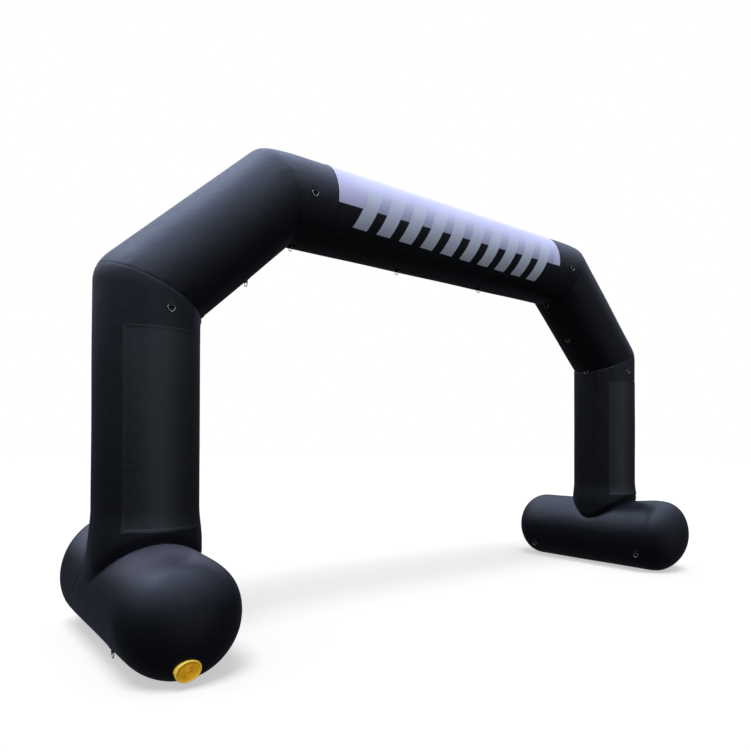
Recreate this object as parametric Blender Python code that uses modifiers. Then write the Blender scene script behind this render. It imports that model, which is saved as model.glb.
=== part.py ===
"""Inflatable arch: five air-filled tubes standing on two lying foot tubes.

The arch stands in the XZ plane. +X is to its right seen from the front, +Y runs to its back and +Z is up.
The origin is on the ground, midway between the two legs and midway along the feet. All sizes are in metres.
"""
import math

import bmesh
import bpy
from mathutils import Matrix, Vector

# Driving dimensions ----------------------------------------------------------------------------------
LEG_SPACING = 5.40          # between the axes of the two legs
BEAM_SPAN = 3.52            # between the two corners of the beam's axis
LEG_TOP = 2.41              # height of the corner between a leg's axis and its shoulder's
BEAM_HEIGHT = 3.30          # height of the beam's axis
TUBE_RADIUS = 0.345         # legs, shoulders and beam
FOOT_RADIUS = 0.380
FOOT_AXIS_HEIGHT = 0.371    # less than the radius, because the foot is pressed flat on the ground
FOOT_LENGTH = 2.11
DOME_LENGTH = 0.29          # depth of each rounded foot end
DOME_POWER = 1.88           # 2 is an ellipse, and less is more pointed
DOME_STEPS = 7              # rings of points on each dome
ARCH_PLACE = -0.08          # the legs stand a little in front of the middle of the feet
SIDES = 48                  # flat strips round each tube; one faces straight front, out, back and in
GAP = 0.0003                # between two pieces that meet

# A mitre draws in the outer side of both tubes, so that the corner is rounded
TUCK_DEPTH = 0.020
TUCK_STEPS = (0.0, 0.25, 0.6, 1.0)
LEG_TUCK = 0.10             # how far along each tube the tuck reaches
SHOULDER_LOW_TUCK = 0.12
SHOULDER_HIGH_TUCK = 0.08
BEAM_TUCK = 0.25

# The foot end of a leg: it swells a little, and the seam round its saddle cut draws it in again
SWELL = 0.017
SWELL_TOP = 0.92
SWELL_FULL = 0.76
SEAM_TUCK = 0.030
SEAM_REACH = 0.10
# Its outer back quarter is pulled out square instead, and runs down into the side of the foot
FLANK_TOP = 0.80
FLANK_FULL = 0.42
FLANK_WIDTH = 0.376
FLANK_SQUARE = 2.0          # added to the exponent 2 of a circle
FLANK_ANGLES = (50.0, 190.0)

# Rows of points round the foot end: above the saddle's seam, then by their share of the way up to the
# banner's lower edge, then by height
ROWS_ABOVE_SEAM = (-0.16, -0.03, 0.0, 0.03)
ROWS_BETWEEN = (0.25, 0.60)
ROWS_LEVEL = (0.825, 0.87, 0.92)

# Banners: sheets that lie on the tubes
SHEET = 0.0025
BEAM_BANNER_HALF = 1.37
BEAM_BANNER_LOW = -48.75    # degrees from straight front, towards the outer side
BEAM_BANNER_HIGH = 78.75
LEG_BANNER_TOP = 2.135
LEG_BANNER_IN = -48.75
LEG_BANNER_OUT = 41.25

# Tie points: a webbing tab with a loop, and a D-ring hanging in the loop
WEBBING_WIDTH = 0.040
WEBBING = 0.0025
PATCH = 0.042               # flat length of a tab
LOOP_RADIUS = 0.0062
LOOP_BORE = 0.0037
LOOP_STEPS = 8
WIRE_RADIUS = 0.003
RING_HALF = 0.0260          # half the width of the ring's bow, on the wire's centre line
RING_BAR = 0.0235           # half the length of its straight bar
RING_DROP = 0.036
BOW_START = 15.0            # degrees below the bar's line where the bow leaves its corner
BOW_STEPS = 8

# Each row is a tie point of the left half: the right half mirrors it.
# angle is in degrees from straight front (on a foot: from straight in), towards the outer side (up),
# place is the middle of the patch along the tube, and run is where the patch's loop points
TIE_POINTS = (
    # name           tube        angle   place   run
    ("leg_front",    "leg",       -7.5,  2.290,  "back along"),
    ("leg_back",     "leg",      180.0,  2.297,  "back along"),
    ("corner_low",   "shoulder", 270.0,  0.190,  "back along"),
    ("shoulder",     "shoulder", 270.0,  0.680,  "back along"),
    ("corner_high",  "beam",     270.0,  0.178,  "back along"),
    ("beam_under",   "beam",     270.0,  1.257,  "back along"),
    ("beam_front",   "beam",       0.0,  0.175,  "down"),
    ("beam_back",    "beam",     180.0,  0.175,  "down"),
    ("foot_near",    "foot",     -22.5, -0.690,  "down"),
    ("foot_far",     "foot",     -30.0,  0.705,  "down"),
    ("foot_out",     "foot",     217.5, -0.410,  "down"),
)

# Air inlet on the front end of the left foot
PORT_SIDE = -0.033          # its centre, from the foot's axis
PORT_HEIGHT = 0.114
PORT_DROOP = 23.0           # degrees that it faces down from level
PORT_RADIUS = 0.0765
PORT_FACE_RADIUS = 0.0660
PORT_PROUD = 0.0165
PORT_ROOT = 0.040
PORT_SIDES = 32
RIM_EDGE = 0.004            # bevel round the rim's two top edges
# Radius and height off the dome of the dished face, with its raised hub
FACE_OUTLINE = (
    (0.0, 0.0150),
    (0.009, 0.0140),
    (0.014, 0.0105),
    (0.052, 0.0105),
    (PORT_FACE_RADIUS, 0.0145),
)

# Colour, roughness and metallic value of each finish
FINISHES = {
    "tube_cloth": ((0.012, 0.013, 0.018), 0.45, 0.0),
    "banner_cloth": ((0.020, 0.022, 0.021), 0.55, 0.0),
    "banner_print": ((0.62, 0.66, 0.80), 0.55, 0.0),
    "webbing": ((0.010, 0.010, 0.012), 0.75, 0.0),
    "ring_steel": ((0.55, 0.55, 0.57), 0.30, 1.0),
    "port_rim": ((0.80, 0.66, 0.22), 0.40, 0.0),
    "port_face": ((0.62, 0.40, 0.03), 0.45, 0.0),
}

STEP = 360.0 / SIDES
FLAT = TUBE_RADIUS * math.cos(math.radians(STEP / 2))
FOOT_FLAT = FOOT_RADIUS * math.cos(math.radians(STEP / 2))
FRONT = Vector((0, -1, 0))
UP = Vector((0, 0, 1))
CORNERS = [Vector((place, ARCH_PLACE, height)) for place, height in (
    (-LEG_SPACING / 2, 0.0),
    (-LEG_SPACING / 2, LEG_TOP),
    (-BEAM_SPAN / 2, BEAM_HEIGHT),
    (BEAM_SPAN / 2, BEAM_HEIGHT),
    (LEG_SPACING / 2, LEG_TOP),
)]


# Scene helpers ---------------------------------------------------------------------------------------
def clear_scene():
    for thing in list(bpy.data.objects):
        bpy.data.objects.remove(thing, do_unlink=True)


def new_collection(name):
    collection = bpy.data.collections.new(name)
    bpy.context.scene.collection.children.link(collection)
    return collection


def finish(name):
    found = bpy.data.materials.get(name)
    if found:
        return found
    colour, roughness, metallic = FINISHES[name]
    made = bpy.data.materials.new(name)
    made.use_nodes = True
    shader = made.node_tree.nodes["Principled BSDF"]
    shader.inputs["Base Color"].default_value = (*colour, 1.0)
    shader.inputs["Roughness"].default_value = roughness
    shader.inputs["Metallic"].default_value = metallic
    made.diffuse_color = (*colour, 1.0)
    return made


def add(name, data, look, matrix=None):
    """Put a mesh or curve in the arch's collection under its own name and finish."""
    made = bpy.data.objects.new(name, data)
    PIECES.objects.link(made)
    data.materials.append(finish(look))
    if matrix is not None:
        made.matrix_world = matrix
    return made


def add_cutter(name, data, matrix=None):
    made = bpy.data.objects.new(name, data)
    CUTTERS.objects.link(made)
    made.hide_render = True
    made.display_type = "WIRE"
    if matrix is not None:
        made.matrix_world = matrix
    return made


def cut(target, cutter):
    """Take the cutter's shape out of the target."""
    boolean = target.modifiers.new("cut_" + cutter.name, "BOOLEAN")
    boolean.operation = "DIFFERENCE"
    boolean.solver = "EXACT"
    boolean.object = cutter


def frame_matrix(x_axis, y_axis, origin):
    """World matrix of an object whose local X and Y run along the two given directions."""
    columns = (x_axis, y_axis, x_axis.cross(y_axis))
    matrix = Matrix.Identity(4)
    for index, column in enumerate(columns):
        matrix.col[index][:3] = column
    matrix.col[3][:3] = origin
    return matrix


def to_mesh(shape, name):
    bmesh.ops.recalc_face_normals(shape, faces=shape.faces)
    mesh = bpy.data.meshes.new(name)
    shape.to_mesh(mesh)
    shape.free()
    mesh.shade_smooth()
    mesh.set_sharp_from_angle(angle=math.radians(30))
    return mesh


def mirrored(mesh, name):
    """The right half's copy of a left half's mesh."""
    shape = bmesh.new()
    shape.from_mesh(mesh)
    bmesh.ops.transform(shape, matrix=Matrix.Scale(-1, 4, (1, 0, 0)), verts=shape.verts)
    return to_mesh(shape, name)


# Tubes -----------------------------------------------------------------------------------------------
def directions(start, end):
    """A tube's axis, and its outer side: away from the inside of the arch."""
    axis = (end - start).normalized()
    return axis, FRONT.cross(axis)


def tube_angles():
    return [STEP * (index + 0.5) for index in range(SIDES)]


def round_section(angle, outward, radius):
    """Point of a section at an angle from straight front towards the outer side."""
    turn = math.radians(angle)
    return (math.cos(turn) * FRONT + math.sin(turn) * outward) * radius


def tucked_radius(angle, share):
    """Radius near a mitre; share is 0 on the seam and 1 where the tuck has faded out."""
    outer_side = max(0.0, math.sin(math.radians(angle))) ** 2
    return TUBE_RADIUS - TUCK_DEPTH * outer_side * (1.0 - share) ** 2


def ramp(start, full, place):
    """0 at the start, 1 at full and past it."""
    return min(1.0, max(0.0, (start - place) / (start - full)))


def saddle_height(angle):
    """Height of the seam between leg and foot, at an angle round the leg."""
    across = TUBE_RADIUS * math.sin(math.radians(angle))
    return FOOT_AXIS_HEIGHT + math.sqrt(FOOT_RADIUS ** 2 - across ** 2)


def leg_radius(angle, height):
    """Radius of a leg, with its swell, the tuck at the seam and the square outer back quarter."""
    swell = SWELL * ramp(SWELL_TOP, SWELL_FULL, height)
    tuck = SEAM_TUCK * ramp(SEAM_REACH, 0.0, height - saddle_height(angle)) ** 2
    plain = TUBE_RADIUS + swell - tuck
    first, last = FLANK_ANGLES
    if not first < angle < last:
        return plain
    share = ramp(FLANK_TOP, FLANK_FULL, height)
    turn = math.radians(angle)
    depth = TUBE_RADIUS + swell
    width = depth + (FLANK_WIDTH - TUBE_RADIUS - SWELL) * share
    power = 2.0 + FLANK_SQUARE * share
    flank = (abs(math.cos(turn) / depth) ** power + abs(math.sin(turn) / width) ** power) ** (-1 / power)
    blend = math.sin(math.pi * (angle - first) / (last - first)) ** 2
    return plain + (flank - plain) * blend


def mitre_rows(start, axis, outward, seam, normal, reach, side):
    """Rings next to a mitre, from the seam into the tube. side is 1 where the tube leads away from it."""
    rows = []
    slope = axis.dot(normal)
    for share in TUCK_STEPS:
        row = []
        for angle in tube_angles():
            edge = round_section(angle, outward, tucked_radius(angle, 0.0))
            along = (seam - start - edge).dot(normal) / slope
            along += side * (reach * share + GAP / 2 / slope)
            point = round_section(angle, outward, tucked_radius(angle, share))
            row.append(start + axis * along + point)
        rows.append(row)
    return rows


def seam_normal(before, corner, after):
    return ((corner - before).normalized() + (after - corner).normalized()).normalized()


def loft(rows, name):
    """Closed body through rings of points, with a flat face at each end."""
    shape = bmesh.new()
    rings = [[shape.verts.new(point) for point in row] for row in rows]
    for low, high in zip(rings, rings[1:]):
        for index in range(len(low)):
            following = (index + 1) % len(low)
            shape.faces.new((low[index], low[following], high[following], high[index]))
    shape.faces.new(rings[0])
    shape.faces.new(rings[-1])
    return to_mesh(shape, name)


def leg_point(angle, height, stand_off=0.0):
    axis, outward = directions(CORNERS[0], CORNERS[1])
    section = round_section(angle, outward, leg_radius(angle % 360, height) + stand_off)
    return CORNERS[0] + axis * height + section


def leg_foot_rows():
    """Rings of points of the left leg, from below its saddle cut up to its straight part."""
    rows = [[leg_point(angle, saddle_height(angle) + above) for angle in tube_angles()]
            for above in ROWS_ABOVE_SEAM]
    for share in ROWS_BETWEEN:
        row = []
        for angle in tube_angles():
            low = saddle_height(angle) + ROWS_ABOVE_SEAM[-1]
            row.append(leg_point(angle, low + (ROWS_LEVEL[0] - low) * share))
        rows.append(row)
    rows += [[leg_point(angle, height) for angle in tube_angles()] for height in ROWS_LEVEL]
    return rows


def leg_mesh():
    """Left leg, from below its saddle cut up to the mitre with its shoulder."""
    start, corner, after = CORNERS[0], CORNERS[1], CORNERS[2]
    axis, outward = directions(start, corner)
    normal = seam_normal(start, corner, after)
    top = mitre_rows(start, axis, outward, corner, normal, LEG_TUCK, -1)
    return loft(leg_foot_rows() + top[::-1], "post_left")


def tube_mesh(index, low_reach, high_reach, name):
    """Straight tube between the mitres at CORNERS[index] and CORNERS[index + 1]."""
    before, start, end = CORNERS[index - 1:index + 2]
    after = CORNERS[index + 2]
    axis, outward = directions(start, end)
    low_normal = seam_normal(before, start, end)
    high_normal = seam_normal(start, end, after)
    low = mitre_rows(start, axis, outward, start, low_normal, low_reach, 1)
    high = mitre_rows(start, axis, outward, end, high_normal, high_reach, -1)
    return loft(low + high[::-1], name)


# Feet ------------------------------------------------------------------------------------------------
def dome_point(share, extra=0.0):
    """Radius and distance from the middle, from the tip of a dome (share 0) to its root (share 1)."""
    turn = math.radians(90 * share)
    radius = FOOT_RADIUS * math.sin(turn) ** (2 / DOME_POWER)
    depth = DOME_LENGTH * math.cos(turn) ** (2 / DOME_POWER)
    grow = 1.0 + extra / FOOT_RADIUS
    return radius * grow, FOOT_LENGTH / 2 - DOME_LENGTH + depth * grow + extra


def foot_profile(extra=0.0):
    """Outline of a foot tube from one tip to the other, as radius and place along its axis."""
    half = [dome_point(index / DOME_STEPS, extra) for index in range(DOME_STEPS + 1)]
    half[0] = (0.0, half[0][1])
    return half + [(radius, -place) for radius, place in half[::-1]]


def outline_mesh(profile, name, closed=False):
    """Mesh of a profile's points, which a Screw modifier turns about the local Z axis."""
    mesh = bpy.data.meshes.new(name)
    points = [(radius, 0, place) for radius, place in profile]
    edges = [(index, index + 1) for index in range(len(points) - 1)]
    if closed:
        edges.append((len(points) - 1, 0))
    mesh.from_pydata(points, edges, [])
    return mesh


def screw(target, sides):
    modifier = target.modifiers.new("turn", "SCREW")
    modifier.axis = "Z"
    modifier.angle = math.tau
    modifier.steps = sides
    modifier.render_steps = sides
    modifier.use_merge_vertices = True
    modifier.merge_threshold = 0.00005
    modifier.use_smooth_shade = True


def foot_matrix(side):
    """A foot's local Z runs to the back, and half a strip's turn puts a flat strip underneath."""
    lay = Matrix.Rotation(math.radians(-90), 4, "X")
    turn = Matrix.Rotation(math.radians(STEP / 2), 4, "Z")
    return Matrix.Translation((side * LEG_SPACING / 2, 0, FOOT_AXIS_HEIGHT)) @ lay @ turn


def ground_cutter():
    """Block below the ground, which leaves each foot flat underneath."""
    shape = bmesh.new()
    bmesh.ops.create_cube(shape, size=1.0)
    size = (LEG_SPACING + 4 * FOOT_RADIUS, FOOT_LENGTH + FOOT_RADIUS, FOOT_RADIUS)
    bmesh.ops.scale(shape, vec=size, verts=shape.verts)
    bmesh.ops.translate(shape, vec=(0, 0, -FOOT_RADIUS / 2), verts=shape.verts)
    return add_cutter("cutter_ground", to_mesh(shape, "cutter_ground"))


# Banners ---------------------------------------------------------------------------------------------
def banner_angles(low, high):
    count = round((high - low) / STEP)
    return [low + STEP * index for index in range(count + 1)]


def sheet_mesh(inner, outer, name):
    """Closed sheet between two grids of points, an inner and an outer one."""
    shape = bmesh.new()
    grids = [[[shape.verts.new(point) for point in row] for row in grid] for grid in (inner, outer)]
    rows, columns = len(inner), len(inner[0])
    for grid in grids:
        for row in range(rows - 1):
            for column in range(columns - 1):
                shape.faces.new((grid[row][column], grid[row][column + 1],
                                 grid[row + 1][column + 1], grid[row + 1][column]))
    rim = [(0, column) for column in range(columns)]
    rim += [(row, columns - 1) for row in range(1, rows)]
    rim += [(rows - 1, column) for column in range(columns - 2, -1, -1)]
    rim += [(row, 0) for row in range(rows - 2, 0, -1)]
    for first, second in zip(rim, rim[1:] + rim[:1]):
        shape.faces.new((grids[0][first[0]][first[1]], grids[0][second[0]][second[1]],
                         grids[1][second[0]][second[1]], grids[1][first[0]][first[1]]))
    return to_mesh(shape, name)


def leg_banner_mesh():
    angles = banner_angles(LEG_BANNER_IN, LEG_BANNER_OUT)
    grids = []
    for stand_off in (GAP, GAP + SHEET):
        grids.append([[leg_point(angle, height, stand_off) for angle in angles]
                      for height in (*ROWS_LEVEL, LEG_BANNER_TOP)])
    return sheet_mesh(grids[0], grids[1], "banner_left")


def beam_banner_mesh():
    middle = Vector((0, ARCH_PLACE, BEAM_HEIGHT))
    grids = []
    for stand_off in (GAP, GAP + SHEET):
        grid = []
        for place in (-BEAM_BANNER_HALF, BEAM_BANNER_HALF):
            row = []
            for angle in banner_angles(BEAM_BANNER_LOW, BEAM_BANNER_HIGH):
                row.append(middle + Vector((place, 0, 0)) + round_section(angle, UP, TUBE_RADIUS + stand_off))
            grid.append(row)
        grids.append(grid)
    return sheet_mesh(grids[0], grids[1], "banner_beam")


# Tie points ------------------------------------------------------------------------------------------
def tab_curve():
    """Outline of a tab from its side: a flat patch that ends in a loop. X is its run, Y is off the cloth."""
    touch = math.sqrt(LOOP_RADIUS ** 2 - (LOOP_RADIUS - WEBBING) ** 2)
    last = math.degrees(math.atan2(WEBBING - LOOP_RADIUS, -touch)) % 360
    outline = [(-PATCH / 2, WEBBING), (-PATCH / 2, 0.0)]
    for index in range(LOOP_STEPS + 1):
        turn = math.radians(-90 + (last + 90) * index / LOOP_STEPS)
        outline.append((PATCH / 2 + LOOP_RADIUS * math.cos(turn), LOOP_RADIUS * (1 + math.sin(turn))))
    bore = []
    for index in range(LOOP_STEPS):
        turn = math.tau * index / LOOP_STEPS
        bore.append((PATCH / 2 + LOOP_BORE * math.cos(turn), LOOP_RADIUS + LOOP_BORE * math.sin(turn)))
    curve = bpy.data.curves.new("tab", "CURVE")
    curve.dimensions = "2D"
    curve.fill_mode = "BOTH"
    curve.extrude = WEBBING_WIDTH / 2
    for points in (outline, bore):
        spline = curve.splines.new("POLY")
        spline.points.add(len(points) - 1)
        for target, point in zip(spline.points, points):
            target.co = (*point, 0, 1)
        spline.use_cyclic_u = True
    return curve


def ring_curve():
    """D-ring: X runs along its straight bar, and the bow hangs towards -Y."""
    points = [(-RING_BAR, 0.0), (RING_BAR, 0.0)]
    for index in range(BOW_STEPS + 1):
        turn = math.radians(BOW_START + (180 - 2 * BOW_START) * index / BOW_STEPS)
        points.append((RING_HALF * math.cos(turn), -RING_DROP * math.sin(turn)))
    curve = bpy.data.curves.new("ring", "CURVE")
    curve.dimensions = "3D"
    curve.bevel_depth = WIRE_RADIUS
    curve.bevel_resolution = 1
    curve.fill_mode = "FULL"
    spline = curve.splines.new("POLY")
    spline.points.add(len(points) - 1)
    for target, point in zip(spline.points, points):
        target.co = (*point, 0, 1)
    spline.use_cyclic_u = True
    return curve


def tie_frame(tube, angle, place, run):
    """Where a tie point's patch sits: its middle, the way off the cloth, and the way that its loop points."""
    turn = math.radians(angle)
    if tube == "foot":
        start, axis = Vector((-LEG_SPACING / 2, 0, FOOT_AXIS_HEIGHT)), Vector((0, 1, 0))
        first, second, flat = Vector((1, 0, 0)), UP, FOOT_FLAT
    else:
        index = ("leg", "shoulder", "beam").index(tube)
        start = CORNERS[index]
        axis, second = directions(start, CORNERS[index + 1])
        first, flat = FRONT, FLAT
    off = math.cos(turn) * first + math.sin(turn) * second
    around = math.cos(turn) * second - math.sin(turn) * first
    if run == "down":
        loop_way = around if around.z < 0 else -around
    else:
        loop_way = -axis
    return start + axis * place + off * (flat + GAP), off, loop_way


def add_tie_point(name, tube, angle, place, run):
    """Tab and ring of one tie point of the left half, and their mirror copies of the right half."""
    middle, off, loop_way = tie_frame(tube, angle, place, run)
    bar_middle = middle + loop_way * PATCH / 2 + off * LOOP_RADIUS
    for kind, curve, matrix, look in (
        ("tab", tab_curve(), frame_matrix(loop_way, off, middle), "webbing"),
        ("ring", ring_curve(), frame_matrix(loop_way.cross(off), UP, bar_middle), "ring_steel"),
    ):
        left = curve_solid(curve, matrix)
        add(f"{kind}_{name}_left", left, look)
        add(f"{kind}_{name}_right", mirrored(left, kind), look)


def curve_solid(curve, matrix):
    """Mesh of a curve at its place, with its caps welded on."""
    holder = bpy.data.objects.new("holder", curve)
    bpy.context.scene.collection.objects.link(holder)
    bpy.context.view_layer.update()
    evaluated = holder.evaluated_get(bpy.context.evaluated_depsgraph_get())
    mesh = bpy.data.meshes.new_from_object(evaluated)
    bpy.data.objects.remove(holder, do_unlink=True)
    shape = bmesh.new()
    shape.from_mesh(mesh)
    bmesh.ops.remove_doubles(shape, verts=shape.verts, dist=0.00001)
    bmesh.ops.transform(shape, matrix=matrix, verts=shape.verts)
    return to_mesh(shape, curve.name)


# Air inlet -------------------------------------------------------------------------------------------
def port_matrix():
    """The inlet's centre is on the dome of the left foot's front end, and its local Z points out of it."""
    across = math.hypot(PORT_SIDE, PORT_HEIGHT - FOOT_AXIS_HEIGHT) / FOOT_RADIUS
    forward = (1 - across ** DOME_POWER) ** (1 / DOME_POWER)
    place = FOOT_LENGTH / 2 - DOME_LENGTH + DOME_LENGTH * forward
    droop = math.radians(PORT_DROOP)
    off = FRONT * math.cos(droop) - UP * math.sin(droop)
    level = Vector((1, 0, 0))
    centre = Vector((PORT_SIDE - LEG_SPACING / 2, -place, PORT_HEIGHT))
    return frame_matrix(level, off.cross(level), centre)


def rim_profile():
    """Round-edged ring, as radius and height off the dome, down its outer side and up its inner side."""
    inner = PORT_FACE_RADIUS + GAP
    return [
        (inner + RIM_EDGE, PORT_PROUD),
        (PORT_RADIUS - RIM_EDGE, PORT_PROUD),
        (PORT_RADIUS, PORT_PROUD - RIM_EDGE),
        (PORT_RADIUS, -PORT_ROOT),
        (inner, -PORT_ROOT),
        (inner, PORT_PROUD - RIM_EDGE),
    ]


def face_profile():
    """Dished face, closed behind by its root."""
    return [*FACE_OUTLINE, (PORT_FACE_RADIUS, -PORT_ROOT), (0.0, -PORT_ROOT)]


# Assembly --------------------------------------------------------------------------------------------
clear_scene()
PIECES = new_collection("inflatable_arch")
CUTTERS = new_collection("cutters")

ground = ground_cutter()
foot_cutters = {}
for side_name, side_sign in (("left", -1), ("right", 1)):
    foot = add("foot_" + side_name, outline_mesh(foot_profile(), "foot"), "tube_cloth",
               foot_matrix(side_sign))
    screw(foot, SIDES)
    cut(foot, ground)
    cutter = add_cutter("cutter_foot_" + side_name, outline_mesh(foot_profile(GAP), "foot_cutter"),
                        foot_matrix(side_sign))
    screw(cutter, SIDES)
    foot_cutters[side_name] = cutter

leg = leg_mesh()
shoulder = tube_mesh(1, SHOULDER_LOW_TUCK, SHOULDER_HIGH_TUCK, "shoulder_left")
leg_banner = leg_banner_mesh()
post_left = add("post_left", leg, "tube_cloth")
post_right = add("post_right", mirrored(leg, "post_right"), "tube_cloth")
cut(post_left, foot_cutters["left"])
cut(post_right, foot_cutters["right"])
add("shoulder_left", shoulder, "tube_cloth")
add("shoulder_right", mirrored(shoulder, "shoulder_right"), "tube_cloth")
add("beam", tube_mesh(2, BEAM_TUCK, BEAM_TUCK, "beam"), "tube_cloth")

add("banner_left", leg_banner, "banner_cloth")
add("banner_right", mirrored(leg_banner, "banner_right"), "banner_cloth")
add("banner_beam", beam_banner_mesh(), "banner_print")

for tie_point in TIE_POINTS:
    add_tie_point(*tie_point)

for port_name, profile, closed in (
    ("port_rim", rim_profile(), True),
    ("port_face", face_profile(), False),
):
    piece = add(port_name, outline_mesh(profile, port_name, closed), port_name, port_matrix())
    screw(piece, PORT_SIDES)
    cut(piece, foot_cutters["left"])
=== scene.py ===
# %% [markdown]
# # An inflatable arch
# An event arch is a chain of fabric tubes that a blower keeps full of air. Two legs rise from two
# lying foot tubes, two shoulders lean in, and a beam spans the gap. Banners lie on the legs and on the
# beam. This file takes the measured solids as a fixed frame and dresses each one: cloth gets its seams
# and puckers, banners their hems and print, and small fittings their metal. Everything is in metres.
# +X is to the right seen from the front, +Y to the back, +Z up.

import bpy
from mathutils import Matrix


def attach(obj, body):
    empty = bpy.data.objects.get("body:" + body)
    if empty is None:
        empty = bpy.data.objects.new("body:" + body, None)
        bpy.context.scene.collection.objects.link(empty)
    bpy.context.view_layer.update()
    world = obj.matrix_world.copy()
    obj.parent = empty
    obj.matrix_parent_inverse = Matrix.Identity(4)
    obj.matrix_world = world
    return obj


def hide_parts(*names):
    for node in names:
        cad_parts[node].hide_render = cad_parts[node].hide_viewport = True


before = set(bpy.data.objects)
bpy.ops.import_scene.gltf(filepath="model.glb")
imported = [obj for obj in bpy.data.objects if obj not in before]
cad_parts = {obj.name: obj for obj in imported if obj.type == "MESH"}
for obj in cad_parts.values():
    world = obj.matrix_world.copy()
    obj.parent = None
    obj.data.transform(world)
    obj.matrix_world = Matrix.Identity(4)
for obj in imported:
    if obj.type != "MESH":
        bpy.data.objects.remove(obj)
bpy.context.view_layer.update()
print("nodes in the frame:", len(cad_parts))

# %% Libraries
import math

import bmesh
import bpy
import numpy as np
from mathutils import Matrix, Vector
from mathutils.kdtree import KDTree

# %% [markdown]
# ## The sizes that everything hangs on
# A sewer cuts every panel from a handful of numbers, so they come first and have names. The arch's
# centre line runs through six points: two feet and four corners.

# %% Sizes of the tubes
LEG_PLACE = 2.70  # from the arch's middle
BEAM_SPAN = 3.52
LEG_TOP = 2.41
BEAM_HEIGHT = 3.30
ARCH_PLACE = -0.08
TUBE_RADIUS = 0.345
FOOT_RADIUS = 0.380
FOOT_AXIS_HEIGHT = 0.371
NEAR_DOME = (0.39, 2.9, 1.9, 1.047)  # length, start, tip, and how far its end is from the middle
FAR_DOME = (0.30, 2.2, 1.85, 1.055)  # a start above 2 lets the dome leave the tube without an edge
GAP = 0.0003  # between any two pieces
RIGHT, BACK, UP = np.identity(3)
FOOT_MIDDLE = np.array((-LEG_PLACE, 0.0, FOOT_AXIS_HEIGHT))
CORNERS = np.array([(place, ARCH_PLACE, height) for place, height in (
    (-LEG_PLACE, 0.0), (-LEG_PLACE, LEG_TOP), (-BEAM_SPAN / 2, BEAM_HEIGHT),
    (BEAM_SPAN / 2, BEAM_HEIGHT), (LEG_PLACE, LEG_TOP), (LEG_PLACE, 0.0))])


def mirrored(points):
    return points * np.array((-1.0, 1.0, 1.0))


HALVES = (("left", np.asarray), ("right", mirrored))  # a half, and what carries the left one's points to it
print("beam axis at", BEAM_HEIGHT, "m, legs", 2 * LEG_PLACE, "m apart")


# %% Helpers that put things in the scene
def tune(thing, settings):
    for key, value in settings.items():
        setattr(thing, key, value)


def put(name, data, **settings):
    """An object in the scene that holds a mesh, a lamp, a camera or a curve with these settings."""
    tune(data, settings)
    made = bpy.data.objects.new(name, data)
    bpy.context.scene.collection.objects.link(made)
    return made


# %% [markdown]
# ## The camera
# The camera stands low, a little outside the left leg, so the near leg is tall and the far one small.
# A lens of about 29 mm gives that depth. The camera is built from its own three directions: right, up
# and back. A small shift lifts the frame without a tilt, so the legs stay upright.

# %% Place the camera
CAMERA_PLACE = Vector((-3.970, -4.367, 1.361))
CAMERA_YAW = 0.64947
CAMERA_PITCH = 0.00973
CAMERA_ROLL = 0.00219
CAMERA_LENS = dict(lens=29.48, sensor_width=36.0, shift_x=-0.0053, shift_y=0.0884)

ahead = Vector((math.sin(CAMERA_YAW) * math.cos(CAMERA_PITCH),
                math.cos(CAMERA_YAW) * math.cos(CAMERA_PITCH), math.sin(CAMERA_PITCH)))
level = Vector((math.cos(CAMERA_YAW), -math.sin(CAMERA_YAW), 0.0))
plumb = level.cross(ahead)
right = math.cos(CAMERA_ROLL) * level + math.sin(CAMERA_ROLL) * plumb
above = -math.sin(CAMERA_ROLL) * level + math.cos(CAMERA_ROLL) * plumb

camera = put("camera", bpy.data.cameras.new("camera"), **CAMERA_LENS)
camera.matrix_world = Matrix.Translation(CAMERA_PLACE) @ Matrix((right, above, -ahead)).transposed().to_4x4()
bpy.context.scene.camera = camera
print("camera looks along", np.round(ahead, 3))

# %% [markdown]
# ## A sheet of nodes
# Every finish, and the sky too, is a sheet of nodes wired together. Wiring by mouse is quick to try and
# slow to repeat. Here each kind of node is a short method, and its result goes straight to the next.

# %% Helpers for nodes
NOISE = (0.3, 0.7)  # a noise texture keeps mostly between these
WHITE = (1.0, 1.0, 1.0, 1.0)


def set_inputs(node, inputs):
    """Give each socket of a node its number, or join it to another node's result."""
    for socket, value in inputs.items():
        if isinstance(value, bpy.types.NodeSocket):
            node.id_data.links.new(value, node.inputs[socket])
        else:
            node.inputs[socket].default_value = value


def opaque(colour):
    return colour if isinstance(colour, bpy.types.NodeSocket) else (*colour, 1.0)


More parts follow.
